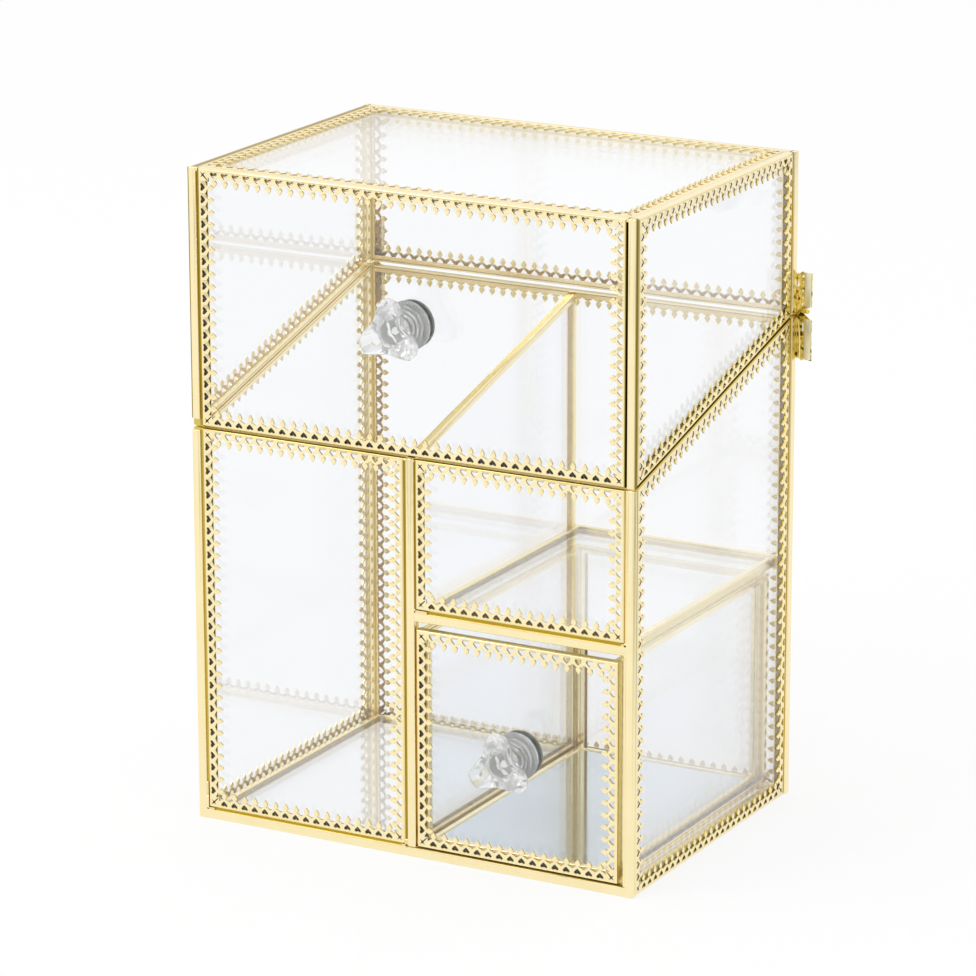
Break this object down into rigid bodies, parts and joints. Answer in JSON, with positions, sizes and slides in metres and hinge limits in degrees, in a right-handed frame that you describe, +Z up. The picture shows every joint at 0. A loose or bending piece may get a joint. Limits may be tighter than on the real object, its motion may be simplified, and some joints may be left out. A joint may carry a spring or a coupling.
{
  "type": "jewelry box",
  "caption": "Upright glass and brass display box with a hinged slant-jointed lid, a drawer, a shelf and an open tall compartment, trimmed with pierced brass lace.",
  "frame": {"origin": "middle of the footprint of the box, on the surface that it rests on", "axes": "+X to the box's right seen from the front, +Y from the front to the hinged back, +Z up"},
  "size_m": [0.245, 0.1904, 0.313],
  "materials": {
    "clear_glass": "clear float glass, polished",
    "mirror": "float glass with a grey-blue mirror back",
    "crystal": "cut clear crystal, polished facets",
    "brass": "bright pale gold plating on folded brass",
    "hinge_brass": "gold plating on cast brass, darker in the piercings",
    "washer": "dark matt rubber"
  },
  "bodies": {
    "base": {"base_front_left_glass": "clear_glass", "base_front_right_glass": "clear_glass", "base_left_glass": "clear_glass", "base_right_glass": "clear_glass", "base_back_glass": "clear_glass", "base_floor_glass": "clear_glass", "divider_glass": "clear_glass", "shelf_glass": "clear_glass", "base_front_left_edging": "brass", "base_front_right_edging": "brass", "base_left_edging": "brass", "base_right_edging": "brass", "base_back_edging": "brass", "base_floor_edging": "brass", "divider_edging": "brass", "shelf_edging": "brass", "base_front_left_post": "brass", "base_front_right_post": "brass", "base_back_left_post": "brass", "base_back_right_post": "brass", "base_front_rail": "brass", "base_middle_post": "brass", "shelf_front_rail": "brass", "lower_hinge_leaves": "hinge_brass", "hinge_pins": "hinge_brass"},
    "lid": {"lid_top_glass": "clear_glass", "lid_front_glass": "clear_glass", "lid_left_glass": "clear_glass", "lid_right_glass": "clear_glass", "lid_back_glass": "clear_glass", "lid_top_edging": "brass", "lid_front_edging": "brass", "lid_left_edging": "brass", "lid_right_edging": "brass", "lid_back_edging": "brass", "lid_front_left_post": "brass", "lid_front_right_post": "brass", "lid_back_left_post": "brass", "lid_back_right_post": "brass", "upper_hinge_leaves": "hinge_brass", "lid_knob": "crystal", "lid_knob_screw": "brass", "lid_knob_washer": "washer"},
    "drawer": {"drawer_front_glass": "clear_glass", "drawer_left_glass": "clear_glass", "drawer_right_glass": "clear_glass", "drawer_back_glass": "clear_glass", "drawer_floor_glass": "mirror", "drawer_front_edging": "brass", "drawer_left_edging": "brass", "drawer_right_edging": "brass", "drawer_back_edging": "brass", "drawer_floor_edging": "brass", "drawer_knob": "crystal", "drawer_knob_screw": "brass", "drawer_knob_washer": "washer"}
  },
  "joints": [
    {"name": "lid_hinge", "type": "hinge", "parent": "base", "child": "lid", "pos_m": [0, 0.0841, 0.23658], "axis": [-1, 0, 0], "range_deg": [0, 105]},
    {"name": "drawer_slide", "type": "slide", "parent": "base", "child": "drawer", "axis": [0, -1, 0], "range_m": [0, 0.13]}
  ]
}
